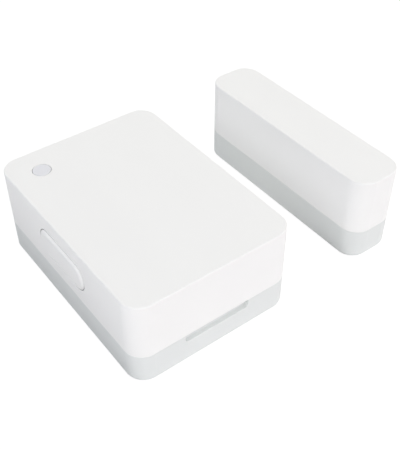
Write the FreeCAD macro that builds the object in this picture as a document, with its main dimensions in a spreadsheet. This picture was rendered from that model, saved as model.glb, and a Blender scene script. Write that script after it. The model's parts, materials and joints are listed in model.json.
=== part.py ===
import FreeCAD, Part
import math
import operator
import os
from types import SimpleNamespace

import Sketcher
from FreeCAD import Placement, Rotation, Vector

# Door and window sensor: a radio sensor with a reed switch, and the magnet unit that it watches.
# Millimetres. The origin is the centre of the sensor's adhesive face. X points at the magnet unit,
# Y runs along both units and Z points out of the door frame.

# Driving dimensions. Each one is set by itself, and everything else is worked out from them.
SIZES = {
    # both units
    "unit_length": 33.1,
    "unit_height": 13.34,
    "base_height": 4.74,
    "unit_gap": 11.75,
    "corner_radius": 2.6,
    "top_round": 0.16,
    "foot_round": 0.62,
    "seam_round": 0.06,
    "draft_angle": 0.15,
    "wall_thickness": 1.2,
    "roof_thickness": 1.2,
    "floor_thickness": 1.6,
    # joint between cover and base
    "lip_wall": 0.6,
    "tongue_height": 1.0,
    "tongue_clearance": 0.12,
    "tongue_headroom": 0.15,
    "bead_clearance": 0.03,
    "bead_length": 5.0,
    "bead_height": 0.3,
    # adhesive pads
    "tape_thickness": 0.8,
    "tape_proud": 0.2,
    "tape_corner": 2.0,
    "tape_gap": 0.15,
    "sensor_tape_width": 17.0,
    "sensor_tape_length": 26.0,
    "magnet_tape_width": 4.4,
    "magnet_tape_length": 28.0,
    # sensor housing
    "sensor_width": 24.0,
    "slot_width": 9.75,
    "slot_height": 1.17,
    "slot_depth": 0.5,
    "slot_corner": 0.45,
    "slot_round": 0.05,
    "slot_backing": 0.9,
    "window_inset": 4.42,
    "window_radius": 1.23,
    "window_gap": 0.06,
    "window_bevel": 0.02,
    "window_hole_round": 0.02,
    "window_sink": 0.01,
    "window_flange": 0.7,
    "window_flange_thickness": 0.6,
    "window_standoff": 0.25,
    # side button
    "button_length": 10.78,
    "button_seam_margin": 2.04,
    "button_top_margin": 2.40,
    "button_proud": 0.2,
    "button_gap": 0.15,
    "button_bevel_width": 0.45,
    "button_bevel_depth": 0.2,
    "button_bevel_round": 0.5,
    "button_opening_round": 0.02,
    "button_flange": 0.4,
    "button_flange_thickness": 0.6,
    "button_nub": 0.5,
    "button_nub_radius": 0.9,
    # circuit board, its ledges and its screws
    "ledge_width": 1.2,
    "ledge_offset": 4.0,
    "ledge_overlap": 0.6,
    "ledge_round": 0.2,
    "board_thickness": 0.8,
    "board_gap": 0.3,
    "board_notch_gap": 0.5,
    "boss_radius": 1.6,
    "screw_inset": 4.2,
    "screw_radius": 0.7,
    "screw_length": 3.4,
    "screw_head_radius": 1.2,
    "screw_head_height": 0.8,
    "screw_recess": 0.4,
    "screw_end_gap": 0.4,
    "screw_gap": 0.02,
    # coin cell
    "cell_radius": 8.0,
    "cell_height": 3.2,
    "cell_stand": 0.3,
    "cell_sheet_thickness": 0.25,
    "cell_cap_radius": 6.9,
    "cell_edge": 0.4,
    "cell_crimp_depth": 0.375,
    "cell_cap_depth": 1.5,
    "gasket_width": 0.35,
    "anode_radius": 5.9,
    # battery holder and contacts
    "holder_clearance": 0.2,
    "holder_wall": 0.9,
    "holder_reach": 3.5,
    "holder_gate_margin": 0.4,
    "holder_notch_length": 8.4,
    "holder_notch_depth": 1.8,
    "holder_notch_height": 1.75,
    "holder_end_gap": 1.85,
    "contact_space": 1.0,
    "contact_thickness": 0.18,
    "contact_width": 3.0,
    "contact_foot": 1.6,
    "contact_kick": 0.36,
    "contact_gap": 0.05,
    # tact switch
    "switch_width": 4.6,
    "switch_depth": 2.2,
    "switch_frame_thickness": 0.2,
    "switch_cavity_width": 3.0,
    "switch_cavity_height": 2.4,
    "switch_cavity_depth": 1.2,
    "plunger_width": 2.0,
    "plunger_height": 1.2,
    "plunger_reach": 0.5,
    "plunger_collar": 0.3,
    "plunger_collar_depth": 0.4,
    "plunger_gap": 0.1,
    "dome_radius": 1.1,
    "dome_rise": 0.3,
    "dome_thickness": 0.08,
    # reed switch
    "reed_length": 9.0,
    "reed_radius": 0.9,
    "reed_glass_wall": 0.25,
    "reed_seal": 0.8,
    "reed_stand": 0.25,
    "reed_inset": 2.0,
    "reed_lead_radius": 0.22,
    "reed_lead_span": 16.4,
    "reed_lead_hole_gap": 0.1,
    "reed_blade_width": 0.8,
    "reed_blade_thickness": 0.18,
    "reed_blade_overlap": 1.2,
    "reed_blade_gap": 0.02,
    # parts on the board
    "chip_side": 5.0,
    "chip_height": 0.85,
    "chip_mark_radius": 0.3,
    "chip_mark_depth": 0.1,
    "crystal_length": 3.2,
    "crystal_width": 2.5,
    "crystal_height": 0.75,
    "antenna_length": 7.0,
    "antenna_width": 2.0,
    "antenna_height": 1.0,
    "light_sensor_side": 1.1,
    "led_side": 0.8,
    "light_part_height": 0.6,
    "light_part_gap": 0.2,
    "passive_length": 1.0,
    "passive_width": 0.5,
    "capacitor_height": 0.5,
    "resistor_height": 0.35,
    "passive_pitch": 1.6,
    "chip_end_gap": 6.55,
    "crystal_gap": 1.25,
    "antenna_end_gap": 1.0,
    "passive_chip_gap": 3.5,
    "passive_row_gap": 3.0,
    # magnet unit
    "magnet_unit_width": 7.93,
    "magnet_width": 3.6,
    "magnet_height": 5.0,
    "magnet_length": 24.0,
    "magnet_rib": 0.8,
    "magnet_fit": 0.05,
    "magnet_post_offset": 7.0,
}

CAPACITOR_COUNT = 6
RESISTOR_COUNT = 5
MAGNET_RIB_COUNT = 3

# Shares of a neighbouring size, where a detail keeps its proportion
BEAD_PLACE_SHARE = 0.25
BACKING_ROUND_SHARE = 0.25
CELL_RING_SHARE = 0.75
CELL_RING_HEIGHT_SHARE = 0.5
LEAF_START_SHARE = 1 / 3
CHIP_MARK_SHARE = 1 / 3
CROSS_LENGTH_SHARE = 1.2
CROSS_WIDTH_SHARE = 0.3
BRIDGE_FOOT_SHARE = 0.8
BRIDGE_KNEE_SHARE = 0.55
BRIDGE_FLAT_SHARE = 0.2
THROUGH_WALL_SHARE = 1.5
# How far a boss or rib runs into the wall that carries it, as a share of the wall
ROOT_SHARE = 0.5
# An obround is a rectangle whose corner radius is all but half its height
OBROUND = 0.4999
# Edges are picked by where they lie, to within this much
LINE_MARGIN = 0.02
# The bevel's first size lies on the outer face
BEVEL_FLIPPED = True
LEVEL_MARGIN = 0.0001

# The sheet that drives the document
doc = FreeCAD.newDocument("DoorWindowSensor")
sheet = doc.addObject("Spreadsheet::Sheet", "Sizes")
for row, (name, number) in enumerate(SIZES.items(), start=1):
    sheet.set(f"A{row}", name)
    sheet.set(f"B{row}", str(number))
    sheet.setAlias(f"B{row}", name)
doc.recompute()

ARITHMETIC = {"+": operator.add, "-": operator.sub, "*": operator.mul, "/": operator.truediv}


class Size:
    """A number together with the sheet expression that gives it."""

    def __init__(self, number, text):
        self.number = number
        self.text = text

    def __add__(self, other):
        return combine(self, "+", other)

    def __radd__(self, other):
        return combine(other, "+", self)

    def __sub__(self, other):
        return combine(self, "-", other)

    def __rsub__(self, other):
        return combine(other, "-", self)

    def __mul__(self, other):
        return combine(self, "*", other)

    def __rmul__(self, other):
        return combine(other, "*", self)

    def __truediv__(self, other):
        return combine(self, "/", other)

    def __neg__(self):
        return combine(0, "-", self)


def as_size(value):
    """A plain number becomes a size with its own digits as its expression."""
    return value if isinstance(value, Size) else Size(float(value), repr(float(value)))


def combine(left, sign, right):
    """The size that a sum, difference, product or quotient of two sizes gives."""
    left, right = as_size(left), as_size(right)
    number = ARITHMETIC[sign](left.number, right.number)
    return Size(number, f"({left.text} {sign} {right.text})")


def tangent(angle):
    """Tangent of an angle in degrees."""
    return Size(math.tan(math.radians(angle.number)), f"tan({angle.text} * 1 deg)")


s = SimpleNamespace(**{name: Size(number, f"Sizes.{name}") for name, number in SIZES.items()})
ZERO = as_size(0)

# Levels, from the adhesive face upwards
base_low = s.tape_proud
split = base_low + s.base_height
top = base_low + s.unit_height
ceiling = top - s.roof_thickness
floor_top = base_low + s.floor_thickness
cell_low = floor_top + s.cell_stand
cell_high = cell_low + s.cell_height
board_low = cell_high + s.contact_space
board_top = board_low + s.board_thickness
button_height = top - split - s.button_seam_margin - s.button_top_margin
button_z = split + s.button_seam_margin + button_height / 2
reed_z = board_top + s.reed_stand + s.reed_radius

# Places across the sensor
half_width = s.sensor_width / 2
half_length = s.unit_length / 2
inner_half_width = half_width - s.wall_thickness
inner_half_length = half_length - s.wall_thickness
inner_radius = s.corner_radius - s.wall_thickness
board_half_width = inner_half_width - s.board_gap
board_half_length = inner_half_length - s.board_gap
window_x = s.window_inset - half_width
window_y = half_length - s.window_inset
button_y = ZERO
holder_inner = s.cell_radius + s.holder_clearance
holder_outer = holder_inner + s.holder_wall
cell_y = holder_outer + s.holder_end_gap - inner_half_length
screw_x = half_width - s.screw_inset
screw_y = half_length - s.screw_inset
reed_x = inner_half_width - s.reed_inset
magnet_x = half_width + s.unit_gap + s.magnet_unit_width / 2

# The button's outer face stands a little proud of the drafted wall at the button's own height
button_face_x = (button_z - split) * tangent(s.draft_angle) - half_width - s.button_proud
button_flange_x = s.button_flange_thickness - inner_half_width
plunger_tip_x = button_flange_x + s.button_nub
switch_frame_x = plunger_tip_x + s.plunger_reach
switch_x = switch_frame_x + s.switch_frame_thickness
switch_height = (button_z - board_top) * 2


def drive(item, path, size):
    """Bind one property of an object to the sheet."""
    item.setExpression(path, as_size(size).text)


def new_body(label):
    return doc.addObject("PartDesign::Body", label)


def new_sketch(body, name, role, level):
    """A sketch on one of the body's own planes, moved along the plane's normal by the level."""
    sketch = body.newObject("Sketcher::SketchObject", name)
    plane = next(f for f in body.Origin.OriginFeatures if f.Role == role)
    sketch.AttachmentSupport = (plane, [""])
    sketch.MapMode = "FlatFace"
    drive(sketch, "AttachmentOffset.Base.z", level)
    return sketch


def dimension(sketch, kind, *parts, size):
    """A named, driven constraint. Its last argument is its size."""
    index = sketch.addConstraint(Sketcher.Constraint(kind, *parts, size.number))
    label = f"size_{index}"
    sketch.renameConstraint(index, label)
    sketch.setExpression(f".Constraints.{label}", size.text)


def add_rounded_rectangle(sketch, x, y, width, length, radius):
    """A rectangle with four equal round corners, about the centre x, y."""
    x, y, width, length, radius = (as_size(v) for v in (x, y, width, length, radius))
    w, l, r = width.number / 2, length.number / 2, radius.number
    cx, cy = x.number, y.number
    corners = [(-w, -l), (w, -l), (w, l), (-w, l)]
    steps = [(1, 0), (0, 1), (-1, 0), (0, -1)]
    first = sketch.GeometryCount
    for side in range(4):
        (ax, ay), (bx, by) = corners[side], corners[(side + 1) % 4]
        ux, uy = steps[side]
        start = Vector(cx + ax + ux * r, cy + ay + uy * r)
        end = Vector(cx + bx - ux * r, cy + by - uy * r)
        sketch.addGeometry(Part.LineSegment(start, end))
        vx, vy = steps[(side + 1) % 4]
        centre = Vector(cx + bx - ux * r + vx * r, cy + by - uy * r + vy * r)
        angle = math.radians(-90 + 90 * side)
        circle = Part.Circle(centre, Vector(0, 0, 1), r)
        sketch.addGeometry(Part.ArcOfCircle(circle, angle, angle + math.pi / 2))
    lines = [first + 2 * i for i in range(4)]
    arcs = [first + 2 * i + 1 for i in range(4)]
    for i in range(4):
        sketch.addConstraint(Sketcher.Constraint("Tangent", lines[i], 2, arcs[i], 1))
        sketch.addConstraint(Sketcher.Constraint("Tangent", arcs[i], 2, lines[(i + 1) % 4], 1))
        sketch.addConstraint(Sketcher.Constraint("Vertical" if i % 2 else "Horizontal", lines[i]))
    for arc in arcs[1:]:
        sketch.addConstraint(Sketcher.Constraint("Equal", arcs[0], arc))
    dimension(sketch, "Radius", arcs[0], size=radius)
    dimension(sketch, "DistanceX", lines[3], 1, lines[1], 1, size=width)
    dimension(sketch, "DistanceY", lines[0], 1, lines[2], 1, size=length)
    dimension(sketch, "DistanceX", -1, 1, lines[1], 1, size=x + width / 2)
    dimension(sketch, "DistanceY", -1, 1, lines[2], 1, size=y + length / 2)


def add_circle(sketch, x, y, radius):
    """A circle about x, y."""
    x, y, radius = (as_size(v) for v in (x, y, radius))
    circle = Part.Circle(Vector(x.number, y.number), Vector(0, 0, 1), radius.number)
    index = sketch.addGeometry(circle)
    dimension(sketch, "Radius", index, size=radius)
    dimension(sketch, "DistanceX", -1, 1, index, 3, size=x)
    dimension(sketch, "DistanceY", -1, 1, index, 3, size=y)


def add_polygon(sketch, points):
    """A closed outline of straight lines through the points."""
    points = [(as_size(x), as_size(y)) for x, y in points]
    first = sketch.GeometryCount
    count = len(points)
    for i in range(count):
        (ax, ay), (bx, by) = points[i], points[(i + 1) % count]
        sketch.addGeometry(Part.LineSegment(Vector(ax.number, ay.number), Vector(bx.number, by.number)))
    for i in range(count):
        after = first + (i + 1) % count
        sketch.addConstraint(Sketcher.Constraint("Coincident", first + i, 2, after, 1))
        dimension(sketch, "DistanceX", -1, 1, first + i, 1, size=points[i][0])
        dimension(sketch, "DistanceY", -1, 1, first + i, 1, size=points[i][1])


def pad(body, sketch, name, length, taper=None, backward=False):
    """Material from the sketch along its normal, or against it when backward."""
    feature = body.newObject("PartDesign::Pad", name)
    feature.Profile = sketch
    feature.Reversed = backward
    drive(feature, "Length", length)
    if taper is not None:
        drive(feature, "TaperAngle", taper)
    return finish(body, feature, grows=True)


def pocket(body, sketch, name, depth, forward=False):
    """A cut from the sketch against its normal, or along it when forward."""
    feature = body.newObject("PartDesign::Pocket", name)
    feature.Profile = sketch
    feature.Reversed = forward
    drive(feature, "Length", depth)
    return finish(body, feature, grows=False)


def finish(body, feature, grows):
    """Recompute a feature and make sure that it changed the volume the right way."""
    before = feature.BaseFeature.Shape.Volume if feature.BaseFeature else 0.0
    doc.recompute()
    change = feature.Shape.Volume - before
    if (change <= 0) if grows else (change >= 0):
        raise RuntimeError(f"{body.Label}: {feature.Label} changed the volume by {change:.4f}")
    return feature


def revolve(body, sketch, name):
    """A full turn of the sketch about its own vertical axis."""
    feature = body.newObject("PartDesign::Revolution", name)
    feature.Profile = sketch
    feature.ReferenceAxis = (sketch, ["V_Axis"])
    feature.Angle = 360
    return finish(body, feature, grows=True)


def edge_names(shape, wanted):
    """Names of the edges for which the test is true."""
    return [f"Edge{i}" for i, edge in enumerate(shape.Edges, start=1) if wanted(edge)]


def at_level(edge, z):
    """True for an edge that lies wholly at one height."""
    bounds = edge.BoundBox
    return abs(bounds.ZMin - z.number) < LEVEL_MARGIN and abs(bounds.ZMax - z.number) < LEVEL_MARGIN


def round_edges(body, name, radius, wanted):
    """A fillet on the edges that the test picks out of the body so far."""
    base = body.Tip
    feature = body.newObject("PartDesign::Fillet", name)
    feature.Base = (base, edge_names(base.Shape, wanted))
    drive(feature, "Radius", radius)
    doc.recompute()
    return feature


def bevel_edges(body, name, width, depth, wanted):
    """A sloped band along the edges of the body's outer face: wide on the face, shallow on the side."""
    base = body.Tip
    feature = body.newObject("PartDesign::Chamfer", name)
    feature.Base = (base, edge_names(base.Shape, wanted))
    feature.ChamferType = "Two distances"
    feature.FlipDirection = BEVEL_FLIPPED
    drive(feature, "Size", width)
    drive(feature, "Size2", depth)
    doc.recompute()
    return feature


def box(name, low, size):
    """A block from its low corner and its three sides."""
    item = doc.addObject("Part::Box", name)
    for path, value in zip(("Length", "Width", "Height"), size):
        drive(item, path, value)
    for axis, value in zip("xyz", low):
        drive(item, f"Placement.Base.{axis}", value)
    return item


def centred_box(name, x, y, z, width, length, height):
    """A block that stands on the level z, about the centre x, y."""
    return box(name, (x - width / 2, y - length / 2, as_size(z)), (width, length, height))


def cylinder(name, centre, radius, height, turn=None):
    """A cylinder from the centre of its first face; the turn leans it over from +Z."""
    item = doc.addObject("Part::Cylinder", name)
    if turn is not None:
        item.Placement = Placement(Vector(), turn)
    drive(item, "Radius", radius)
    drive(item, "Height", height)
    for axis, value in zip("xyz", centre):
        drive(item, f"Placement.Base.{axis}", value)
    return item


def ball(name, centre, radius):
    """A ball about its centre."""
    item = doc.addObject("Part::Sphere", name)
    drive(item, "Radius", radius)
    for axis, value in zip("xyz", centre):
        drive(item, f"Placement.Base.{axis}", value)
    return item


def cut(name, base, tools):
    """The base less each tool."""
    result = base
    for i, tool in enumerate(tools):
        step = doc.addObject("Part::Cut", name if i == len(tools) - 1 else f"{name}_step_{i}")
        step.Base = result
        step.Tool = tool
        result = step
    return result


def fuse(name, members):
    """One solid from members that touch or overlap."""
    result = doc.addObject("Part::MultiFuse", name)
    result.Shapes = members
    result.Refine = True
    return result


def group(name, members):
    """Separate solids that share one node."""
    result = doc.addObject("Part::Compound", name)
    result.Links = members
    return result


ALONG_Y = Rotation(Vector(1, 0, 0), -90)
ALONG_X = Rotation(Vector(0, 1, 0), 90)
parts = []


def keep(item, label):
    """Record a finished sub-part under its label."""
    item.Label = label
    parts.append(item)
    return item


# Covers: the white shells, drafted towards the top and rebated for the base's tongue
def cover_shell(label, x, width):
    """An open shell from the seam to the top, about the line x."""
    body = new_body(label)
    height = top - split
    outline = new_sketch(body, f"{label}_outline", "XY_Plane", split)
    add_rounded_rectangle(outline, x, 0, width, s.unit_length, s.corner_radius)
    pad(body, outline, f"{label}_block", height, taper=-s.draft_angle)
    round_edges(body, f"{label}_top_round", s.top_round, lambda edge: at_level(edge, top))
    round_edges(body, f"{label}_seam_round", s.seam_round, lambda edge: at_level(edge, split))
    hollow = new_sketch(body, f"{label}_hollow", "XY_Plane", split)
    add_rounded_rectangle(hollow, x, 0, width - s.wall_thickness * 2, inner_half_length * 2, inner_radius)
    pocket(body, hollow, f"{label}_hollow_cut", ceiling - split, forward=True)
    rebate = new_sketch(body, f"{label}_rebate", "XY_Plane", split)
    inset = s.lip_wall * 2
    add_rounded_rectangle(rebate, x, 0, width - inset, s.unit_length - inset, s.corner_radius - s.lip_wall)
    pocket(body, rebate, f"{label}_rebate_cut", s.tongue_height + s.tongue_headroom, forward=True)
    return body


# Bases: grey trays with a tongue that fits in the cover and a recess for the adhesive pad
def base_tray(label, x, width, tape_width, tape_length):
    """A tray from its underside to the seam, with the tongue above it."""
    body = new_body(label)
    outline = new_sketch(body, f"{label}_outline", "XY_Plane", base_low)
    add_rounded_rectangle(outline, x, 0, width, s.unit_length, s.corner_radius)
    pad(body, outline, f"{label}_block", s.base_height)
    round_edges(body, f"{label}_foot_round", s.foot_round, lambda edge: at_level(edge, base_low))
    round_edges(body, f"{label}_seam_round", s.seam_round, lambda edge: at_level(edge, split))
    tongue = new_sketch(body, f"{label}_tongue", "XY_Plane", split - s.tongue_clearance)
    inset = (s.lip_wall + s.tongue_clearance) * 2
    tongue_radius = s.corner_radius - inset / 2
    add_rounded_rectangle(tongue, x, 0, width - inset, s.unit_length - inset, tongue_radius)
    pad(body, tongue, f"{label}_tongue_block", s.tongue_height + s.tongue_clearance)
    hollow = new_sketch(body, f"{label}_hollow", "XY_Plane", floor_top)
    add_rounded_rectangle(hollow, x, 0, width - s.wall_thickness * 2, inner_half_length * 2, inner_radius)
    pocket(body, hollow, f"{label}_hollow_cut", split + s.tongue_height - floor_top, forward=True)
    recess = new_sketch(body, f"{label}_tape_recess", "XY_Plane", base_low)
    gap = s.tape_gap * 2
    add_rounded_rectangle(recess, x, 0, tape_width + gap, tape_length + gap, s.tape_corner + s.tape_gap)
    pocket(body, recess, f"{label}_tape_recess_cut", s.tape_thickness - base_low, forward=True)
    return body


def tape_pad(label, x, width, length):
    """Foam tape that fills the recess and stands a little proud of the base."""
    body = new_body(label)
    outline = new_sketch(body, f"{label}_outline", "XY_Plane", ZERO)
    add_rounded_rectangle(outline, x, 0, width, length, s.tape_corner)
    pad(body, outline, f"{label}_block", s.tape_thickness)
    return keep(body, label)


def add_beads(body, x, width):
    """Low beads on the tongue's long sides, which the cover clicks over."""
    low = split + s.tongue_height / 2 - s.bead_height / 2
    proud = s.tongue_clearance - s.bead_clearance
    reach = width / 2 - s.lip_wall - s.tongue_clearance
    half = (s.wall_thickness - s.lip_wall - s.tongue_clearance) / 2
    for side in (-1, 1):
        for end in (-1, 1):
            name = f"{body.Label}_bead_{'left' if side < 0 else 'right'}_{'near' if end < 0 else 'far'}"
            sketch = new_sketch(body, name, "XY_Plane", low)
            centre_x = x + (reach - half + proud / 2) * side
            centre_y = s.unit_length * BEAD_PLACE_SHARE * end
            add_rounded_rectangle(sketch, centre_x, centre_y, half * 2 + proud, s.bead_length, proud)
            pad(body, sketch, f"{name}_pad", s.bead_height)


# Sensor base with its pry slot
sensor_base = base_tray("sensor_base", ZERO, s.sensor_width, s.sensor_tape_width, s.sensor_tape_length)
add_beads(sensor_base, ZERO, s.sensor_width)

backing = new_sketch(sensor_base, "slot_backing", "XY_Plane", floor_top)
backing_width = s.slot_width + s.slot_backing * 2
backing_y = s.slot_backing / 2 - inner_half_length
add_rounded_rectangle(backing, 0, backing_y, backing_width, s.slot_backing,
                      s.slot_backing * BACKING_ROUND_SHARE)
pad(sensor_base, backing, "slot_backing_pad", split - floor_top)

slot = new_sketch(sensor_base, "pry_slot", "XZ_Plane", half_length)
slot_low = split - s.slot_height
add_rounded_rectangle(slot, 0, slot_low + s.slot_height, s.slot_width, s.slot_height * 2, s.slot_corner)
pocket(sensor_base, slot, "pry_slot_cut", s.slot_depth)
round_edges(sensor_base, "pry_slot_round", s.slot_round, lambda edge: (
    at_level(edge, slot_low) and edge.BoundBox.YMax < (LINE_MARGIN - half_length).number))

ring = new_sketch(sensor_base, "cell_ring", "XY_Plane", floor_top)
ring_radius = s.cell_radius * CELL_RING_SHARE
add_circle(ring, 0, cell_y, ring_radius)
add_circle(ring, 0, cell_y, ring_radius - s.wall_thickness)
pad(sensor_base, ring, "cell_ring_pad", s.cell_stand * CELL_RING_HEIGHT_SHARE)
keep(sensor_base, "sensor_base")
tape_pad("sensor_tape_pad", ZERO, s.sensor_tape_width, s.sensor_tape_length)

# Sensor cover with its window hole, button opening and screw bosses
sensor_cover = cover_shell("sensor_cover", ZERO, s.sensor_width)

bosses = new_sketch(sensor_cover, "screw_bosses", "XY_Plane", board_top)
for side in (-1, 1):
    add_circle(bosses, screw_x * side, screw_y * side, s.boss_radius)
pad(sensor_cover, bosses, "screw_bosses_pad", ceiling - board_top + s.roof_thickness * ROOT_SHARE)

pilots = new_sketch(sensor_cover, "screw_pilots", "XY_Plane", board_top)
for side in (-1, 1):
    add_circle(pilots, screw_x * side, screw_y * side, s.screw_radius + s.screw_gap)
pocket(sensor_cover, pilots, "screw_pilots_cut", s.screw_length, forward=True)

window_hole = new_sketch(sensor_cover, "window_hole", "XY_Plane", ceiling)
add_circle(window_hole, window_x, window_y, s.window_radius + s.window_gap)
pocket(sensor_cover, window_hole, "window_hole_cut", s.roof_thickness, forward=True)
round_edges(sensor_cover, "window_hole_round", s.window_hole_round, lambda edge: (
    at_level(edge, top) and edge.Closed))

opening_length = s.button_length + s.button_gap * 2
opening_height = button_height + s.button_gap * 2


def borders_opening(edge):
    """True for an edge of the button's opening on the outside of the cover."""
    bounds = edge.BoundBox
    return (bounds.XMax < (button_face_x + s.wall_thickness / 2).number
            and bounds.ZMin > (button_z - opening_height / 2).number - LINE_MARGIN
            and bounds.ZMax < (button_z + opening_height / 2).number + LINE_MARGIN
            and abs(bounds.Center.y - button_y.number) < opening_length.number / 2 + LINE_MARGIN)


opening = new_sketch(sensor_cover, "button_opening", "YZ_Plane", -half_width)
add_rounded_rectangle(opening, button_y, button_z, opening_length, opening_height, opening_height * OBROUND)
pocket(sensor_cover, opening, "button_opening_cut", s.wall_thickness * THROUGH_WALL_SHARE, forward=True)
round_edges(sensor_cover, "button_opening_round", s.button_opening_round, borders_opening)

# Ledges on the end walls, which the board rests against
ledges = new_sketch(sensor_cover, "board_ledges", "XY_Plane", board_top)
ledge_reach = s.board_gap + s.ledge_overlap
ledge_root = s.wall_thickness * ROOT_SHARE
for side in (-1, 1):
    for end in (-1, 1):
        ledge_y = (inner_half_length + (ledge_root - ledge_reach) / 2) * end
        add_rounded_rectangle(ledges, s.ledge_offset * side, ledge_y, s.ledge_width,
                              ledge_reach + ledge_root, s.ledge_round)
pad(sensor_cover, ledges, "board_ledges_pad", ceiling - board_top + s.roof_thickness * ROOT_SHARE)
keep(sensor_cover, "sensor_cover")

# Light window: a clear pipe from the top of the cover down to the light parts on the board
light_window = new_body("light_window")
pipe = new_sketch(light_window, "pipe", "XY_Plane", top - s.window_sink)
add_circle(pipe, window_x, window_y, s.window_radius)
pipe_low = board_top + s.light_part_height + s.window_standoff
pad(light_window, pipe, "pipe_pad", top - s.window_sink - pipe_low, backward=True)
flange = new_sketch(light_window, "pipe_flange", "XY_Plane", ceiling)
add_circle(flange, window_x, window_y, s.window_radius + s.window_flange)
pad(light_window, flange, "pipe_flange_pad", s.window_flange_thickness, backward=True)
round_edges(light_window, "pipe_bevel", s.window_bevel, lambda edge: at_level(edge, top - s.window_sink))
keep(light_window, "light_window")

# Side button: an obround cap, a flange that keeps it in and a nub that meets the switch
side_button = new_body("side_button")
cap = new_sketch(side_button, "button_cap", "YZ_Plane", button_face_x)
add_rounded_rectangle(cap, button_y, button_z, s.button_length, button_height, button_height * OBROUND)
pad(side_button, cap, "button_cap_pad", -inner_half_width - button_face_x)
bevel_edges(side_button, "button_bevel", s.button_bevel_width, s.button_bevel_depth, lambda edge: (
    edge.BoundBox.XMax < (button_face_x + LEVEL_MARGIN).number))
round_edges(side_button, "button_bevel_round", s.button_bevel_round, lambda edge: (
    edge.BoundBox.XMax < (button_face_x + LEVEL_MARGIN).number))
keeper = new_sketch(side_button, "button_flange", "YZ_Plane", -inner_half_width)
flange_height = button_height + s.button_flange * 2
flange_length = s.button_length + s.button_flange * 2
add_rounded_rectangle(keeper, button_y, button_z, flange_length, flange_height, flange_height * OBROUND)
pad(side_button, keeper, "button_flange_pad", s.button_flange_thickness)
nub = new_sketch(side_button, "button_nub", "YZ_Plane", button_flange_x)
add_circle(nub, button_y, button_z, s.button_nub_radius)
pad(side_button, nub, "button_nub_pad", s.button_nub)
keep(side_button, "side_button")

# Circuit board, notched for the button's flange and drilled for screws and reed leads
circuit_board = new_body("circuit_board")
board = new_sketch(circuit_board, "board_outline", "XY_Plane", board_low)
add_rounded_rectangle(board, 0, 0, board_half_width * 2, board_half_length * 2, inner_radius - s.board_gap)
pad(circuit_board, board, "board_pad", s.board_thickness)
notch = new_sketch(circuit_board, "button_notch", "XY_Plane", board_low)
notch_edge = button_flange_x + s.board_notch_gap
notch_width = (notch_edge + board_half_width) * 2
notch_length = flange_length + s.board_notch_gap * 2
add_rounded_rectangle(notch, -board_half_width, button_y, notch_width, notch_length, s.board_gap)
pocket(circuit_board, notch, "button_notch_cut", s.board_thickness, forward=True)
holes = new_sketch(circuit_board, "board_holes", "XY_Plane", board_low)
for side in (-1, 1):
    add_circle(holes, screw_x * side, screw_y * side, s.screw_radius + s.screw_gap)
    add_circle(holes, reed_x, s.reed_lead_span / 2 * side, s.reed_lead_radius + s.reed_lead_hole_gap)
pocket(circuit_board, holes, "board_holes_cut", s.board_thickness, forward=True)
keep(circuit_board, "circuit_board")

# Board screws: two alike, driven up through the board into the cover's bosses
screws = []
for side, place in ((-1, "near"), (1, "far")):
    x, y = screw_x * side, screw_y * side
    head = cylinder(f"screw_head_{place}", (x, y, board_low - s.screw_head_height),
                    s.screw_head_radius, s.screw_head_height)
    shank = cylinder(f"screw_shank_{place}", (x, y, board_low), s.screw_radius,
                     s.board_thickness + s.screw_length - s.screw_end_gap)
    long, short = s.screw_head_radius * CROSS_LENGTH_SHARE, s.screw_head_radius * CROSS_WIDTH_SHARE
    bars = []
    for turn in (0, 1):
        width, length = (long, short) if turn else (short, long)
        bars.append(centred_box(f"screw_cross_{place}_{turn}", x, y, board_low - s.screw_head_height,
                                width, length, s.screw_recess))
    solid = fuse(f"screw_{place}", [head, shank])
    screws.append(cut(f"screw_driven_{place}", solid, bars))
keep(group("board_screws", screws), "board_screws")

# Battery holder: a ring under the board, open at one side for the positive contact
holder_low = board_low - s.holder_reach
battery_holder = new_body("battery_holder")
rim = new_sketch(battery_holder, "holder_ring", "XY_Plane", holder_low)
add_circle(rim, 0, cell_y, holder_outer)
add_circle(rim, 0, cell_y, holder_inner)
pad(battery_holder, rim, "holder_ring_pad", s.holder_reach)
gate = new_sketch(battery_holder, "holder_gate", "XY_Plane", holder_low)
gate_width = s.contact_width + s.holder_gate_margin * 2
gate_depth = s.holder_wall * THROUGH_WALL_SHARE * 2
add_rounded_rectangle(gate, 0, cell_y + holder_outer, gate_width, gate_depth, s.holder_clearance)
pocket(battery_holder, gate, "holder_gate_cut", s.holder_reach, forward=True)
thumb = new_sketch(battery_holder, "holder_thumb", "XY_Plane", holder_low)
add_rounded_rectangle(thumb, 0, cell_y - holder_outer, s.holder_notch_length, s.holder_notch_depth * 2,
                      s.holder_wall)
pocket(battery_holder, thumb, "holder_thumb_cut", s.holder_notch_height, forward=True)
keep(battery_holder, "battery_holder")

# Positive contact: an upright leaf beside the can, with a foot on the board
leaf_y = cell_y + s.cell_radius + s.contact_gap
positive_contact = new_body("positive_contact")
leaf = new_sketch(positive_contact, "positive_leaf", "YZ_Plane", -s.contact_width / 2)
leaf_low = cell_low + s.cell_height * LEAF_START_SHARE
metal = s.contact_thickness
kick = s.contact_kick
add_polygon(leaf, [
    (leaf_y, leaf_low + kick),
    (leaf_y + kick, leaf_low),
    (leaf_y + kick + metal, leaf_low + metal / 2),
    (leaf_y + metal, leaf_low + kick + metal / 2),
    (leaf_y + metal, board_low - metal),
    (leaf_y + s.contact_foot, board_low - metal),
    (leaf_y + s.contact_foot, board_low),
    (leaf_y, board_low),
])
pad(positive_contact, leaf, "positive_leaf_pad", s.contact_width)
keep(positive_contact, "positive_contact")

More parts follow.
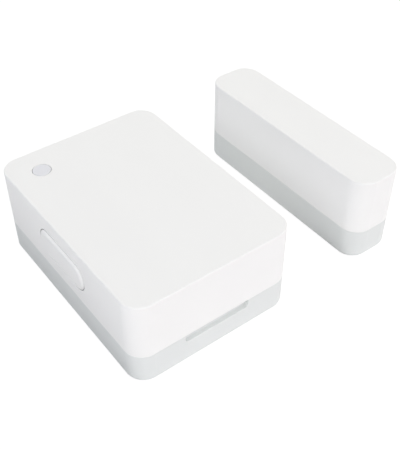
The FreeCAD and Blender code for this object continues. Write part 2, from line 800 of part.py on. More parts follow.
# Negative contact: a bridge under the board that presses on the cap
negative_contact = new_body("negative_contact")
bridge = new_sketch(negative_contact, "negative_bridge", "XZ_Plane", -cell_y - s.contact_width / 2)
foot_out = s.cell_cap_radius * BRIDGE_FOOT_SHARE
foot_in = s.cell_cap_radius * BRIDGE_KNEE_SHARE
flat = s.cell_cap_radius * BRIDGE_FLAT_SHARE
under = cell_high + s.contact_gap
upper = board_low - metal
add_polygon(bridge, [
    (-foot_out, upper),
    (-foot_in, upper),
    (-flat, under),
    (flat, under),
    (foot_in, upper),
    (foot_out, upper),
    (foot_out, board_low),
    (foot_in - metal / 2, board_low),
    (flat - metal / 2, under + metal),
    (metal / 2 - flat, under + metal),
    (metal / 2 - foot_in, board_low),
    (-foot_out, board_low),
])
pad(negative_contact, bridge, "negative_bridge_pad", s.contact_width)
keep(negative_contact, "negative_contact")


# Coin cell: each piece is a full turn about the cell's own axis
def turned(label, points):
    """A ring or disc from its half section: distance from the axis and height above the cell's face."""
    body = new_body(label)
    section = new_sketch(body, f"{label}_section", "XZ_Plane", ZERO)
    add_polygon(section, [(r, cell_low + z) for r, z in points])
    revolve(body, section, f"{label}_turn")
    drive(body, "Placement.Base.y", cell_y)
    return body


skin = s.cell_sheet_thickness
can_inner = s.cell_radius - skin
can_shoulder = s.cell_height - s.cell_edge * 2
can_mouth = s.cell_cap_radius + s.gasket_width
crimp_low = s.cell_height - s.cell_crimp_depth
keep(turned("battery_can", [
    (ZERO, ZERO),
    (s.cell_radius - s.cell_edge, ZERO),
    (s.cell_radius, s.cell_edge),
    (s.cell_radius, can_shoulder),
    (can_mouth + skin / 2, s.cell_height - skin / 2),
    (can_mouth, crimp_low),
    (can_inner, can_shoulder - skin / 2),
    (can_inner, s.cell_edge + skin / 2),
    (can_inner - s.cell_edge, skin),
    (ZERO, skin),
]), "battery_can")

cap_skirt = s.cell_height - s.cell_cap_depth
cap_inner = s.cell_cap_radius - skin
cap_under = s.cell_height - skin
keep(turned("battery_cap", [
    (ZERO, cap_under),
    (cap_inner - skin / 2, cap_under),
    (cap_inner, cap_under - skin / 2),
    (cap_inner, cap_skirt),
    (s.cell_cap_radius, cap_skirt),
    (s.cell_cap_radius, cap_under),
    (cap_inner, s.cell_height),
    (ZERO, s.cell_height),
]), "battery_cap")

gasket_low = cap_skirt - skin
keep(turned("battery_gasket", [
    (cap_inner, cap_skirt),
    (cap_inner, gasket_low),
    (can_inner, gasket_low),
    (can_inner, can_shoulder - skin / 2),
    (can_mouth, crimp_low),
    (s.cell_cap_radius, crimp_low),
    (s.cell_cap_radius, cap_skirt),
]), "battery_gasket")

cathode_radius = can_inner - s.cell_edge
keep(turned("battery_cathode", [
    (ZERO, skin),
    (cathode_radius, skin),
    (cathode_radius, gasket_low),
    (ZERO, gasket_low),
]), "battery_cathode")

keep(turned("battery_anode", [
    (ZERO, gasket_low),
    (s.anode_radius, gasket_low),
    (s.anode_radius, cap_under),
    (ZERO, cap_under),
]), "battery_anode")

# Tact switch on the board's edge, pressed by the button's nub
switch_y = button_y
block = centred_box("switch_block", switch_x + s.switch_depth / 2, switch_y, board_top,
                    s.switch_depth, s.switch_width, switch_height)
cavity = box("switch_cavity",
             (switch_x, switch_y - s.switch_cavity_width / 2, button_z - s.switch_cavity_height / 2),
             (s.switch_cavity_depth, s.switch_cavity_width, s.switch_cavity_height))
keep(cut("switch_body", block, [cavity]), "switch_body")

plate = box("switch_plate", (switch_frame_x, switch_y - s.switch_width / 2, board_top),
            (s.switch_frame_thickness, s.switch_width, switch_height))
roof_plate = box("switch_roof", (switch_frame_x, switch_y - s.switch_width / 2, board_top + switch_height),
                 (s.switch_frame_thickness + s.switch_depth, s.switch_width, s.switch_frame_thickness))
hatch_width = s.plunger_width + s.plunger_gap * 2
hatch_height = s.plunger_height + s.plunger_gap * 2
hatch = box("switch_hatch", (switch_frame_x, switch_y - hatch_width / 2, button_z - hatch_height / 2),
            (s.switch_frame_thickness, hatch_width, hatch_height))
keep(cut("switch_frame", fuse("switch_sheet", [plate, roof_plate]), [hatch]), "switch_frame")

collar_x = switch_x + s.plunger_gap / 2
stem = box("plunger_stem",
           (plunger_tip_x, switch_y - s.plunger_width / 2, button_z - s.plunger_height / 2),
           (collar_x - plunger_tip_x, s.plunger_width, s.plunger_height))
collar_width = s.plunger_width + s.plunger_collar * 2
collar_height = s.plunger_height + s.plunger_collar * 2
collar = box("plunger_collar", (collar_x, switch_y - collar_width / 2, button_z - collar_height / 2),
             (s.plunger_collar_depth, collar_width, collar_height))
keep(fuse("switch_plunger", [stem, collar]), "switch_plunger")

# Snap dome: a shallow cap cut from a hollow ball, its crown towards the plunger
dome_back = switch_x + s.switch_cavity_depth
dome_ball_radius = (s.dome_radius * s.dome_radius + s.dome_rise * s.dome_rise) / (s.dome_rise * 2)
dome_centre_x = dome_back - s.dome_rise + dome_ball_radius
dome_outer = ball("dome_outer", (dome_centre_x, switch_y, button_z), dome_ball_radius)
dome_inner = ball("dome_inner", (dome_centre_x, switch_y, button_z), dome_ball_radius - s.dome_thickness)
dome_cut = cut("dome_hollow", dome_outer, [dome_inner])
dome_zone = box("dome_zone",
                (dome_back - s.dome_rise * 2, switch_y - s.dome_radius * 2, button_z - s.dome_radius * 2),
                (s.dome_rise * 2, s.dome_radius * 4, s.dome_radius * 4))
switch_dome = doc.addObject("Part::Common", "switch_dome")
switch_dome.Base = dome_cut
switch_dome.Tool = dome_zone
keep(switch_dome, "switch_dome")

# Switch terminals: four short legs beside the switch on the board
legs = []
for side in (-1, 1):
    for end in (0, 1):
        leg_x = switch_x + s.switch_depth * (1 + 2 * end) / 4
        leg_y = switch_y + (s.switch_width + s.passive_width) / 2 * side
        legs.append(centred_box(f"switch_leg_{(side + 1) // 2}_{end}", leg_x, leg_y, board_top,
                                s.passive_width, s.passive_width, s.switch_frame_thickness))
keep(group("switch_terminals", legs), "switch_terminals")

# Reed switch: a glass tube along the edge nearest the magnet, with two blades inside
half_reed = s.reed_length / 2
reed_inner = s.reed_radius - s.reed_glass_wall
tube = cylinder("reed_tube", (reed_x, -half_reed, reed_z), s.reed_radius, s.reed_length, ALONG_Y)
chamber = cylinder("reed_chamber", (reed_x, s.reed_seal - half_reed, reed_z), reed_inner,
                   s.reed_length - s.reed_seal * 2, ALONG_Y)
bore = cylinder("reed_bore", (reed_x, -half_reed, reed_z), s.reed_lead_radius, s.reed_length, ALONG_Y)
keep(cut("reed_glass", tube, [chamber, bore]), "reed_glass")


def reed_lead(name, side, inner_y):
    """A round lead from the glass out to its bend and down into the board, flush with its underside."""
    bend_y = s.reed_lead_span / 2 * side
    start_y = inner_y if side > 0 else bend_y
    run = bend_y - inner_y if side > 0 else inner_y - bend_y
    along = cylinder(f"{name}_run", (reed_x, start_y, reed_z), s.reed_lead_radius, run, ALONG_Y)
    corner = ball(f"{name}_bend", (reed_x, bend_y, reed_z), s.reed_lead_radius)
    down = cylinder(f"{name}_leg", (reed_x, bend_y, board_low), s.reed_lead_radius, reed_z - board_low)
    return [along, corner, down]


blade_root_y = half_reed - s.reed_seal
blade_reach = s.reed_blade_overlap / 2
blade_x = reed_x - s.reed_blade_width / 2
fixed_blade = box("reed_fixed_flat", (blade_x, -blade_root_y, reed_z - s.reed_blade_thickness),
                  (s.reed_blade_width, blade_root_y + blade_reach, s.reed_blade_thickness))
fixed_lead = reed_lead("reed_fixed", -1, -blade_root_y)
keep(fuse("reed_fixed_blade", fixed_lead + [fixed_blade]), "reed_fixed_blade")
keep(fuse("reed_lead", reed_lead("reed_sprung", 1, blade_root_y)), "reed_lead")

# The moving blade turns about its round root, just inside the glass from its lead
root_radius = s.reed_blade_thickness / 2
root_y = blade_root_y - s.reed_blade_gap - root_radius
sprung_blade = box("reed_sprung_flat", (blade_x, -blade_reach, reed_z + s.reed_blade_gap),
                   (s.reed_blade_width, root_y + blade_reach, s.reed_blade_thickness))
root = cylinder("reed_sprung_root", (blade_x, root_y, reed_z + s.reed_blade_gap + root_radius),
                root_radius, s.reed_blade_width, ALONG_X)
keep(fuse("reed_moving_blade", [sprung_blade, root]), "reed_moving_blade")

# Parts on the board: radio chip, crystal, antenna, light sensor, lamp and small passives
chip_y = s.chip_end_gap + s.chip_side / 2 - board_half_length
chip = centred_box("radio_block", ZERO, chip_y, board_top, s.chip_side, s.chip_side, s.chip_height)
mark_offset = s.chip_side * CHIP_MARK_SHARE
chip_dot = cylinder("radio_dot", (-mark_offset, chip_y + mark_offset,
                                  board_top + s.chip_height - s.chip_mark_depth),
                    s.chip_mark_radius, s.chip_mark_depth)
keep(cut("radio_chip", chip, [chip_dot]), "radio_chip")

crystal_y = chip_y - s.chip_side / 2 - s.crystal_gap - s.crystal_width / 2
keep(centred_box("crystal_can", ZERO, crystal_y, board_top, s.crystal_length, s.crystal_width,
                 s.crystal_height), "crystal")
antenna_y = board_half_length - s.antenna_end_gap - s.antenna_width / 2
keep(centred_box("antenna_block", s.passive_pitch, antenna_y, board_top, s.antenna_length,
                 s.antenna_width, s.antenna_height), "chip_antenna")

pair_span = s.light_sensor_side + s.light_part_gap + s.led_side
sensor_x = window_x - pair_span / 2 + s.light_sensor_side / 2
led_x = window_x + pair_span / 2 - s.led_side / 2
keep(centred_box("light_sensor_block", sensor_x, window_y, board_top, s.light_sensor_side,
                 s.light_sensor_side, s.light_part_height), "light_sensor")
keep(centred_box("led_block", led_x, window_y, board_top, s.led_side, s.led_side,
                 s.light_part_height), "status_led")


def passive_row(name, count, y, height):
    """A row of small parts across the board."""
    return [centred_box(f"{name}_{i}", s.passive_pitch * (i - (count - 1) / 2), y, board_top,
                        s.passive_width, s.passive_length, height) for i in range(count)]


capacitor_y = chip_y + s.chip_side / 2 + s.passive_chip_gap
capacitors = passive_row("capacitor", CAPACITOR_COUNT, capacitor_y, s.capacitor_height)
keep(group("chip_capacitors", capacitors), "chip_capacitors")
resistor_y = capacitor_y + s.passive_row_gap
resistors = passive_row("resistor", RESISTOR_COUNT, resistor_y, s.resistor_height)
keep(group("chip_resistors", resistors), "chip_resistors")

# Magnet unit: the same shells, narrower, around a bar magnet
magnet_base = base_tray("magnet_base", magnet_x, s.magnet_unit_width, s.magnet_tape_width,
                        s.magnet_tape_length)
add_beads(magnet_base, magnet_x, s.magnet_unit_width)
magnet_low = ceiling - s.magnet_height
posts = new_sketch(magnet_base, "magnet_posts", "XY_Plane", floor_top)
for end in (-1, 1):
    add_rounded_rectangle(posts, magnet_x, s.magnet_post_offset * end, s.magnet_width, s.magnet_rib,
                          s.ledge_round)
pad(magnet_base, posts, "magnet_posts_pad", magnet_low - floor_top)
keep(magnet_base, "magnet_base")
tape_pad("magnet_tape_pad", magnet_x, s.magnet_tape_width, s.magnet_tape_length)

# Ribs in the magnet cover that hold the bar at its sides and ends
magnet_cover = cover_shell("magnet_cover", magnet_x, s.magnet_unit_width)
ribs = new_sketch(magnet_cover, "magnet_ribs", "XY_Plane", magnet_low)
rib_inner = s.magnet_width / 2 + s.magnet_fit
rib_outer = s.magnet_unit_width / 2 - s.wall_thickness * ROOT_SHARE
rib_pitch = s.magnet_length / MAGNET_RIB_COUNT
stop_width = s.magnet_unit_width - s.wall_thickness
for side in (-1, 1):
    for i in range(MAGNET_RIB_COUNT):
        rib_y = rib_pitch * (i - (MAGNET_RIB_COUNT - 1) / 2)
        add_rounded_rectangle(ribs, magnet_x + (rib_inner + rib_outer) / 2 * side, rib_y,
                              rib_outer - rib_inner, s.magnet_rib, s.ledge_round)
    stop_y = (s.magnet_length / 2 + s.magnet_fit + s.magnet_rib / 2) * side
    add_rounded_rectangle(ribs, magnet_x, stop_y, stop_width, s.magnet_rib, s.ledge_round)
pad(magnet_cover, ribs, "magnet_ribs_pad", s.magnet_height + s.roof_thickness * ROOT_SHARE)
keep(magnet_cover, "magnet_cover")
keep(centred_box("magnet_bar", magnet_x, ZERO, magnet_low, s.magnet_width, s.magnet_length,
                 s.magnet_height), "bar_magnet")

# Every object must be sound before anything is written
doc.recompute()
for item in doc.Objects:
    if "Invalid" in item.State or "Error" in item.State:
        raise RuntimeError(f"{item.Label} did not recompute")
for item in parts:
    if item.Shape.isNull() or not item.Shape.isValid():
        raise RuntimeError(f"{item.Label} has no valid shape")

os.makedirs("parts", exist_ok=True)
for item in parts:
    item.Shape.exportStep(f"parts/{item.Label}.step")
    bounds = item.Shape.BoundBox
    print(f"{item.Label:18s} solids {len(item.Shape.Solids)} volume {item.Shape.Volume:9.3f}"
          f"  x {bounds.XMin:7.2f} {bounds.XMax:7.2f}  y {bounds.YMin:7.2f} {bounds.YMax:7.2f}"
          f"  z {bounds.ZMin:6.2f} {bounds.ZMax:6.2f}")
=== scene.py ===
import json
import math

import bmesh
import bpy
from mathutils import Matrix, Vector


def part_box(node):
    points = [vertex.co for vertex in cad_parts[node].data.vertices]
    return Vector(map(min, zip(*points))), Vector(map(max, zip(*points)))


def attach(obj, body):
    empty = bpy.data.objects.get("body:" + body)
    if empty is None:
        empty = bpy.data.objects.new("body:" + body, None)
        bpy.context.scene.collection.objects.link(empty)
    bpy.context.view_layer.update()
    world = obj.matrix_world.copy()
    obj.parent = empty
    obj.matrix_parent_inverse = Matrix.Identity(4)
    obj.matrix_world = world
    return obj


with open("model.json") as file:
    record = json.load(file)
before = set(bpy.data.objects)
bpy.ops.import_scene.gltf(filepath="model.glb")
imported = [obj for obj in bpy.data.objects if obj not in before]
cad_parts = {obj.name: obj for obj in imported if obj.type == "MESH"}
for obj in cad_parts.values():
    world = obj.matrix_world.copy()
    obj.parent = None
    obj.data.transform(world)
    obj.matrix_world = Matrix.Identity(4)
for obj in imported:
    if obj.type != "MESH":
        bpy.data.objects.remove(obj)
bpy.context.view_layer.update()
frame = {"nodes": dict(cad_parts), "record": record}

# Door and window sensor with its magnet unit. Metres, in the CAD frame.
MM = 0.001

# Camera: focal length in pixels of the 400 by 450 picture, whose centre is the principal point
IMAGE_HEIGHT = 450
FOCAL_PIXELS = 762.54
CAMERA_AZIMUTH = math.radians(-36.937)
CAMERA_ELEVATION = math.radians(42.418)
CAMERA_TARGET = Vector((7.567, -2.820, 6.200)) * MM
CAMERA_DISTANCE = 104.476 * MM
CAMERA_NEAR = 1 * MM

# Lamps: name, direction from the object, level on a facing white surface, colour
LAMPS = (
    ("front_low", (-0.10, -1.00, 0.30), 0.089, (1.0, 0.915, 0.887)),
    ("corner_low", (-0.60, -1.00, 0.25), 0.236, (1.0, 0.958, 0.986)),
    ("front_right", (0.95, -0.70, 0.35), 0.439, (1.0, 0.963, 0.997)),
    ("front_left", (-0.75, -0.50, 0.95), 0.445, (1.0, 0.995, 0.997)),
    ("side_left", (-0.85, -0.35, 0.65), 0.045, (0.953, 1.0, 0.99)),
    ("left", (-1.00, 0.40, 1.00), 0.126, (0.70, 0.78, 1.0)),
    ("right", (1.00, 0.10, 0.50), 0.199, (1.0, 0.971, 0.911)),
    ("rear", (0.50, 0.80, 0.80), 0.259, (1.0, 0.991, 0.863)),
)
LAMP_DISTANCE = 0.45
LAMP_SIDE = 0.45
LAMP_AIM = Vector((7.0, 0.0, 6.0)) * MM
WORLD_LEVEL = 0.254
WORLD_TINT = (0.963, 0.977, 1.0)

# The floor: its albedo for light that bounces, and the glow and albedo that the camera sees
FLOOR_SIZE = 1.2
FLOOR_DROP = 0.01 * MM
FLOOR_ALBEDO = 0.80
FLOOR_GLOW = 0.93
FLOOR_SHOWN_ALBEDO = 0.15

# The floor's tone for light that bounces only, which the camera doesn't see. Places are in mm. A card lies
# under, beside and between the units: dark at their left, and elsewhere grey in front and white behind. Pairs
# of X and albedo give its front and its rear. Along Y, its front turns into its rear over CARD_TURN, and it
# begins over CARD_EDGE. A white strip lies before it, which begins over STRIP_EDGE.
CARD_SPAN = 40.0
CARD_FRONT = ((-25, FLOOR_ALBEDO), (-20, 0.06), (-12, 0.06), (0, 0.42), (18, 0.42), (22, 0.16), (24, 0.16),
              (26, FLOOR_ALBEDO))
CARD_REAR = ((-25, FLOOR_ALBEDO), (-20, 0.10), (-12, 0.10), (0, 1.0), (24, 1.0), (26, FLOOR_ALBEDO))
CARD_TURN = (-12.0, 2.0)
CARD_EDGE = (-17.0, -15.0)
STRIP_ALBEDO = 1.0
STRIP_EDGE = (-25.0, -23.0)

# Lightened edges: rays per sample, and the cosines between the rounded and the true normal for full and no
# lightening. On metal the lightening is wear, on moulded plastic it is partly wear and partly a painted
# highlight, and on resin it is a painted highlight
EDGE_SAMPLES = 4
EDGE_FULL = 0.70
EDGE_FLAT = 0.99
# How far turned rings waver, and how strongly clear resin refracts
RING_WOBBLE = 1.5
RESIN_IOR = 1.49


def srgb(red, green, blue):
    """Linear colour from eight-bit display values."""
    linear = []
    for value in (red, green, blue):
        share = value / 255
        linear.append(share / 12.92 if share <= 0.04045 else ((share + 0.055) / 1.055) ** 2.4)
    return tuple(linear)


def new_node(tree, kind, **settings):
    """A node with these settings."""
    node = tree.nodes.new(kind)
    for name, value in settings.items():
        setattr(node, name, value)
    return node


def feed(tree, value, socket):
    """A plain value is set on the socket itself, and a node's output is linked to it."""
    if isinstance(value, (float, tuple)):
        socket.default_value = value
    else:
        tree.links.new(value, socket)


def blend(tree, share, first, second):
    """From the first colour to the second as the share rises."""
    mix = new_node(tree, "ShaderNodeMix", data_type="RGBA")
    tree.links.new(share, mix.inputs["Factor"])
    feed(tree, first, mix.inputs["A"])
    feed(tree, second, mix.inputs["B"])
    return mix.outputs["Result"]


class Finish:
    """A node material built up around one Principled shader. Feature sizes are in millimetres."""

    def __init__(self, name, colour, roughness, metallic=0.0):
        self.material = bpy.data.materials.new(name)
        self.material.use_nodes = True
        self.tree = self.material.node_tree
        self.shader = self.tree.nodes["Principled BSDF"]
        self.place = self.add("ShaderNodeTexCoord").outputs["Object"]
        self.colour = (*colour, 1.0)
        self.roughness = roughness
        self.normal = None
        self.shader.inputs["Metallic"].default_value = metallic

    def add(self, kind, **settings):
        return new_node(self.tree, kind, **settings)

    def link(self, source, target):
        self.tree.links.new(source, target)

    def noise(self, size, detail=2.0, stretch=(1, 1, 1)):
        """Smooth noise with features of this size."""
        mapping = self.add("ShaderNodeMapping")
        mapping.inputs["Scale"].default_value = [1 / (size * MM * s) for s in stretch]
        texture = self.add("ShaderNodeTexNoise")
        texture.inputs["Scale"].default_value = 1.0
        texture.inputs["Detail"].default_value = detail
        self.link(self.place, mapping.inputs["Vector"])
        self.link(mapping.outputs["Vector"], texture.inputs["Vector"])
        return texture.outputs["Fac"]

    def cells(self, size, feature="F1"):
        """Cells of this size."""
        texture = self.add("ShaderNodeTexVoronoi", feature=feature)
        texture.inputs["Scale"].default_value = 1 / (size * MM)
        self.link(self.place, texture.inputs["Vector"])
        return texture.outputs["Distance"]

    def rings(self, centre, pitch):
        """Turned rings about a vertical axis through the centre, which is in metres."""
        mapping = self.add("ShaderNodeMapping")
        mapping.inputs["Location"].default_value = [-c for c in centre]
        self.link(self.place, mapping.inputs["Vector"])
        texture = self.add("ShaderNodeTexWave", wave_type="RINGS", rings_direction="Z")
        texture.inputs["Scale"].default_value = 1 / (pitch * MM)
        texture.inputs["Distortion"].default_value = RING_WOBBLE
        texture.inputs["Detail"].default_value = 3.0
        self.link(mapping.outputs["Vector"], texture.inputs["Vector"])
        return texture.outputs["Fac"]

    def spread(self, value, low=0.0, high=1.0, start=0.0, end=1.0):
        """The value's range from start to end becomes low to high."""
        node = self.add("ShaderNodeMapRange")
        self.link(value, node.inputs["Value"])
        for name, number in (("From Min", start), ("From Max", end), ("To Min", low), ("To Max", high)):
            node.inputs[name].default_value = number
        return node.outputs["Result"]

    def edges(self, radius):
        """From 0 on the flats to 1 on edges sharper than the radius."""
        soft = self.add("ShaderNodeBevel", samples=EDGE_SAMPLES)
        soft.inputs["Radius"].default_value = radius * MM
        true = self.add("ShaderNodeNewGeometry").outputs["Normal"]
        dot = self.add("ShaderNodeVectorMath", operation="DOT_PRODUCT")
        self.link(soft.outputs["Normal"], dot.inputs[0])
        self.link(true, dot.inputs[1])
        return self.spread(dot.outputs["Value"], 1.0, 0.0, start=EDGE_FULL, end=EDGE_FLAT)

    def facing(self, axis):
        """How far the surface faces either way along an axis, from 0 to 1."""
        split = self.add("ShaderNodeSeparateXYZ")
        self.link(self.add("ShaderNodeNewGeometry").outputs["Normal"], split.inputs[0])
        either_way = self.add("ShaderNodeMath", operation="ABSOLUTE")
        self.link(split.outputs[axis], either_way.inputs[0])
        return either_way.outputs[0]

    def tint(self, mask, colour, amount=1.0):
        """Mix another colour in where the mask is high."""
        self.colour = blend(self.tree, self.spread(mask, high=amount), self.colour, (*colour, 1.0))

    def gloss(self, value, low, high, start=0.0, end=1.0):
        """Drive the roughness from low to high."""
        self.roughness = self.spread(value, low, high, start, end)

    def relief(self, height, depth, strength):
        """Bump from a height map. Each call adds to the one before."""
        bump = self.add("ShaderNodeBump")
        bump.inputs["Strength"].default_value = strength
        bump.inputs["Distance"].default_value = depth * MM
        self.link(height, bump.inputs["Height"])
        if self.normal is not None:
            self.link(self.normal, bump.inputs["Normal"])
        self.normal = bump.outputs["Normal"]

    def set(self, **sockets):
        """Plain values for the shader's other sockets."""
        for name, value in sockets.items():
            self.shader.inputs[name.replace("_", " ")].default_value = value

    def done(self):
        """Join everything to the shader and hand the material over."""
        feed(self.tree, self.colour, self.shader.inputs["Base Color"])
        feed(self.tree, self.roughness, self.shader.inputs["Roughness"])
        if self.normal is not None:
            self.link(self.normal, self.shader.inputs["Normal"])
        return self.material


def shade(colour, factor):
    """A lighter or darker copy of a colour."""
    return tuple(min(1.0, c * factor) for c in colour)


def moulded(name, colour, roughness, grain=0.18, depth=0.0022, edge_wear_and_highlight=1.03):
    """Spark-textured moulded plastic: fine grain, faint flow marks, and lighter edges that are partly wear
    and partly a painted highlight.
    """
    finish = Finish(name, colour, roughness)
    flow = finish.noise(size=9.0, stretch=(1.0, 2.2, 1.0))
    finish.tint(finish.spread(flow, start=0.35, end=0.65), shade(colour, 0.985))
    finish.tint(finish.noise(size=0.5, detail=3.0), shade(colour, 0.99), amount=0.6)
    # Lighter edges: partly wear, partly a painted highlight where rounded edges would catch the light
    finish.tint(finish.edges(radius=0.14), shade(colour, edge_wear_and_highlight), amount=0.8)
    patches = finish.noise(size=1.6, detail=3.0)
    finish.gloss(patches, roughness - 0.05, roughness + 0.05, start=0.3, end=0.7)
    finish.relief(finish.noise(size=grain), depth, strength=0.5)
    finish.relief(finish.noise(size=5.0, detail=1.0), depth=0.004, strength=0.35)
    return finish.done()


def metal(name, colour, roughness, lay=(1.0, 8.0, 1.0)):
    """Drawn or plated metal with fine lines along its lay and dull spots."""
    finish = Finish(name, colour, roughness, metallic=1.0)
    lines = finish.noise(size=0.12, detail=3.0, stretch=lay)
    finish.tint(finish.noise(size=1.8, detail=3.0), shade(colour, 0.9), amount=0.7)
    finish.tint(finish.edges(radius=0.08), shade(colour, 1.12), amount=0.6)
    finish.gloss(lines, roughness - 0.07, roughness + 0.10, start=0.25, end=0.75)
    finish.relief(lines, depth=0.0015, strength=0.5)
    return finish.done()


def turned_metal(name, colour, roughness, centre):
    """Pressed round sheet with faint rings about its axis."""
    finish = Finish(name, colour, roughness, metallic=1.0)
    rings = finish.rings(centre, pitch=0.9)
    finish.tint(finish.noise(size=2.4, detail=3.0), shade(colour, 0.88), amount=0.7)
    finish.tint(finish.edges(radius=0.10), shade(colour, 1.10), amount=0.6)
    finish.gloss(rings, roughness - 0.05, roughness + 0.08)
    finish.relief(rings, depth=0.0012, strength=0.4)
    finish.relief(finish.noise(size=0.25, detail=3.0), depth=0.001, strength=0.5)
    return finish.done()


def foam(name, colour):
    """Closed-cell foam tape with open cells on its cut sides, their hollows darkened as painted shade."""
    finish = Finish(name, colour, roughness=0.9)
    pores = finish.cells(size=0.16)
    # Darker cell hollows: painted shade
    finish.tint(finish.spread(pores, 1.0, 0.0, start=0.1, end=0.5), shade(colour, 0.78), amount=0.6)
    finish.tint(finish.noise(size=3.0, detail=3.0), shade(colour, 1.06), amount=0.6)
    finish.gloss(finish.noise(size=0.8), 0.80, 0.96)
    finish.relief(pores, depth=0.03, strength=0.8)
    return finish.done()


def board_mask(name, colour, laminate):
    """Solder mask over laminate, which shows on the cut edges."""
    finish = Finish(name, colour, roughness=0.35)
    finish.tint(finish.noise(size=4.0, detail=3.0), shade(colour, 1.25), amount=0.5)
    weave = finish.cells(size=0.5, feature="DISTANCE_TO_EDGE")
    finish.tint(finish.spread(weave, 1.0, 0.0, end=0.08), shade(colour, 1.3), amount=0.35)
    finish.tint(finish.spread(finish.facing("Z"), 1.0, 0.0, start=0.2, end=0.6), laminate)
    finish.gloss(finish.noise(size=0.7, detail=3.0), 0.28, 0.46, start=0.3, end=0.7)
    finish.relief(weave, depth=0.006, strength=0.4)
    finish.relief(finish.noise(size=0.2), depth=0.002, strength=0.4)
    return finish.done()


def resin(name, colour, roughness, transmission):
    """Clear or frosted resin with faint haze and flow, and a painted highlight on its edges."""
    finish = Finish(name, colour, roughness)
    finish.tint(finish.noise(size=0.9, detail=3.0), shade(colour, 0.96), amount=0.7)
    # Lighter edges: a painted highlight
    finish.tint(finish.edges(radius=0.10), shade(colour, 1.08), amount=0.8)
    finish.gloss(finish.noise(size=0.3), roughness - 0.05, roughness + 0.07)
    finish.relief(finish.noise(size=0.14), depth=0.0015, strength=0.5)
    finish.set(Transmission_Weight=transmission, IOR=RESIN_IOR)
    return finish.done()


def ceramic(name, colour, roughness, ends=None):
    """Fired body with speckles. Where ends are given, they cover the faces along Y."""
    finish = Finish(name, colour, roughness)
    speckles = finish.spread(finish.cells(size=0.12), 1.0, 0.0, start=0.1, end=0.45)
    finish.tint(speckles, shade(colour, 0.8), amount=0.5)
    finish.tint(finish.noise(size=0.8, detail=3.0), shade(colour, 1.12), amount=0.6)
    finish.gloss(finish.noise(size=0.25, detail=3.0), roughness - 0.1, roughness + 0.12)
    finish.relief(finish.noise(size=0.1, detail=3.0), depth=0.002, strength=0.6)
    if ends is not None:
        finish.tint(finish.spread(finish.facing("Y"), start=0.3, end=0.7), ends)
    return finish.done()


WHITE = srgb(246, 246, 245)
GREY = srgb(226, 229, 228)
TINNED = srgb(206, 206, 204)

# Finishes by the record's slots
MATERIALS = {
    "cover_white": moulded("cover_plastic", WHITE, 0.52),
    "base_grey": moulded("base_plastic", GREY, 0.55, edge_wear_and_highlight=1.02),
    "foam_tape": foam("tape_foam", srgb(205, 208, 210)),
    "window_clear": resin("window_resin", srgb(241, 242, 247), 0.32, transmission=0.12),
    "board_green": board_mask("board_mask", srgb(18, 92, 52), laminate=srgb(176, 158, 104)),
    "nickel_steel": metal("nickel_steel", srgb(204, 203, 198), 0.32),
    "gold_plate": metal("gold_plate", srgb(226, 196, 128), 0.28),
    "black_plastic": moulded("black_plastic", srgb(42, 42, 44), 0.50, grain=0.14, depth=0.003, edge_wear_and_highlight=1.5),
    "gasket_plastic": moulded("gasket_plastic", srgb(190, 190, 184), 0.45, grain=0.12, depth=0.0015),
    "capacitor_ceramic": ceramic("capacitor_body", srgb(176, 142, 104), 0.5, ends=TINNED),
    "resistor_ceramic": ceramic("resistor_body", srgb(46, 46, 50), 0.4, ends=TINNED),
    "antenna_ceramic": ceramic("antenna_body", srgb(222, 222, 212), 0.45),
    "reed_glass": resin("reed_glass", srgb(214, 232, 220), 0.08, transmission=0.92),
    "lamp_resin": resin("lamp_resin", srgb(236, 236, 222), 0.25, transmission=0.35),
    "sensor_resin": resin("sensor_resin", srgb(58, 56, 66), 0.22, transmission=0.2),
    "magnet_nickel": metal("magnet_nickel", srgb(198, 198, 196), 0.22, lay=(1.0, 1.0, 6.0)),
    "cell_cathode": ceramic("cathode_powder", srgb(44, 44, 44), 0.85),
    "cell_anode": metal("anode_foil", srgb(196, 197, 200), 0.42, lay=(1.0, 1.0, 1.0)),
}

# Finishes of the battery's round shell and of the details on the board
BATTERY_SHELL = ("battery_can", "battery_cap")
BATTERY_LOW, BATTERY_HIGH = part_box("battery_can")
BATTERY_CENTRE = (BATTERY_LOW + BATTERY_HIGH) / 2
BATTERY_STEEL = turned_metal("cell_steel", srgb(206, 206, 204), 0.30, BATTERY_CENTRE)
TRACK_GREEN = board_mask("track_mask", srgb(30, 112, 64), laminate=srgb(30, 112, 64))
SOLDER = metal("solder", srgb(208, 208, 206), 0.24, lay=(1.0, 1.0, 1.0))


def dress_nodes():
    """Give each CAD node the finish of its record slot, and the battery's shell its turned steel."""
    for row in frame["record"]["subparts"]:
        node = frame["nodes"][row["node"]]
        material = MATERIALS[row["material_slot"]]
        if row["node"] in BATTERY_SHELL:
            material = BATTERY_STEEL
        node.data.materials.clear()
        node.data.materials.append(material)


# Copper, solder and pads on the circuit board, in millimetres
COPPER_PROUD = 0.03
COPPER_SUNK = 0.01
TRACK_PROUD = COPPER_PROUD * 0.6
TRACK_WIDTH = 0.22
MITRE_LEAST = 0.3
PAD_MARGIN = 0.12
PAD_REACH = 0.32
CHIP_PADS_PER_SIDE = 8
CHIP_PAD_WIDTH = 0.24
END_PAD_WIDTH = 0.9
CONTACT_PAD_WIDTH = 0.7
CONTACT_PAD_LENGTH = 1.0
VIA_RADIUS = 0.28
VIA_BORE = 0.13
ROUND_STEPS = 24

# Test pads under the board: how many, their spacing and their row
TEST_PADS = 5
TEST_PAD_RADIUS = 0.5
TEST_PAD_PITCH = 1.8
TEST_PAD_Y = 11.6

# Capacitors and resistors: how many stand in a row, and the solder at their ends. Its rise is a share of the
# part's height, and its top is a share of its foot.
CAPACITORS = 6
RESISTORS = 5
PASSIVE_WIDTH = 0.5
FILLET_LENGTH = PAD_REACH * 1.6
FILLET_RISE = 0.55
FILLET_TAPER = 0.6

